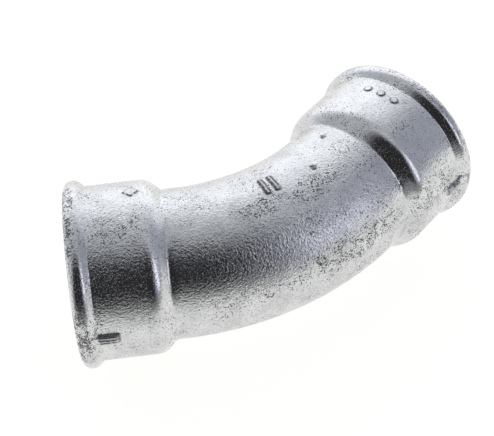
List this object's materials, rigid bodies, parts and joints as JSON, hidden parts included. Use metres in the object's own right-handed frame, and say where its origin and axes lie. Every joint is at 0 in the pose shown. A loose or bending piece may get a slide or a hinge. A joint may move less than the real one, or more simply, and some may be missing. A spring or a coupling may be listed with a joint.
{
  "type": "pipe elbow",
  "caption": "Galvanised cast-iron pipe elbow: a long-sweep 45 degree curved tube with a beaded, internally threaded socket at each end.",
  "frame": {"origin": "centre of the inlet's end face, on the inlet's axis", "axes": "+X along the inlet's axis into the elbow; +Y towards the inside of the bend; +Z square to the plane of the bend, so the mould joint is the plane Z = 0. The outlet faces (0.7071, 0.7071, 0)"},
  "size_m": [0.1629, 0.1184, 0.073],
  "materials": {
    "galvanised_iron": "hot-dip galvanised as cast: bright silvery zinc over a fine sand-cast grain, with small dark pits; the threads are machined and lightly oiled"
  },
  "bodies": {
    "root": {"inlet_socket": "galvanised_iron", "bend_body": "galvanised_iron", "outlet_socket": "galvanised_iron"}
  },
  "joints": []
}
